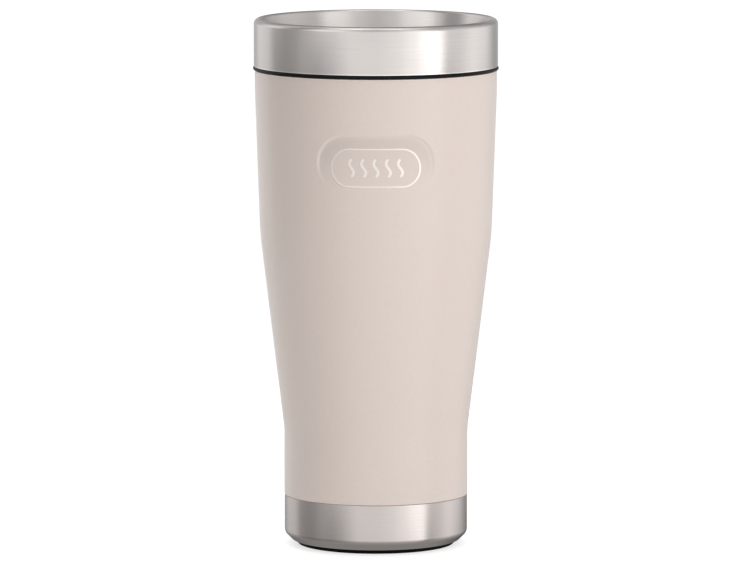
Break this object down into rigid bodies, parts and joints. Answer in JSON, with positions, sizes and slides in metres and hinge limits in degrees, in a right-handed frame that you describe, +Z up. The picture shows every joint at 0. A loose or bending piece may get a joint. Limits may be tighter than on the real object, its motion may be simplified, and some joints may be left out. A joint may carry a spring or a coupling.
{
  "type": "insulated travel mug",
  "caption": "Double-walled steel travel mug with a coated tapered body, bare steel base band, and a steel-collared screw lid with a sliding drink-port cover.",
  "frame": {"origin": "centre of the foot's underside, on the surface that the mug stands on", "axes": "+Z up along the mug's axis; -Y towards the badge and the drink port; +X to the right of someone facing the badge"},
  "size_m": [0.0844, 0.0844, 0.182],
  "materials": {
    "coat": "matte powder coat, sandstone beige",
    "brushed_steel": "brushed round the axis, satin",
    "foot_rubber": "matte black",
    "liner_steel": "electropolished",
    "solder_glass": "fused glass bead",
    "copper": "thin bright copper foil",
    "lid_plastic": "black, moulded, semi-gloss",
    "deck_plastic": "black, fine spark-eroded texture",
    "slider_plastic": "black, fine spark-eroded texture",
    "grip_rubber": "soft matte, ribbed",
    "silicone": "translucent grey silicone, satin",
    "foam": "white beaded foam"
  },
  "bodies": {
    "mug": {"outer_shell": "coat", "base_band": "brushed_steel", "foot_pad": "foot_rubber", "inner_liner": "liner_steel", "bottom_plate": "liner_steel", "vacuum_plug": "solder_glass", "getter": "liner_steel", "copper_foil": "copper"},
    "seal": {"lid_seal": "silicone"},
    "lid": {"lid_body": "lid_plastic", "lid_collar": "brushed_steel", "lid_insulation": "foam", "lid_deck": "deck_plastic"},
    "slider": {"slider": "slider_plastic", "slider_grip": "grip_rubber", "slider_seal": "silicone"}
  },
  "joints": [
    {"name": "lid_lift", "type": "slide", "parent": "mug", "child": "seal", "axis": [0, 0, 1], "range_m": [0, 0.02701]},
    {"name": "lid_turn", "type": "hinge", "parent": "seal", "child": "lid", "pos_m": [0, 0, 0.165], "axis": [0, 0, 1], "range_deg": [0, 900]},
    {"name": "slider_slide", "type": "slide", "parent": "lid", "child": "slider", "axis": [0, 1, 0], "range_m": [0, 0.016]}
  ],
  "couplings": [
    {"joint": "lid_lift", "follows": "lid_turn", "m_per_rad": 0.0017189}
  ]
}
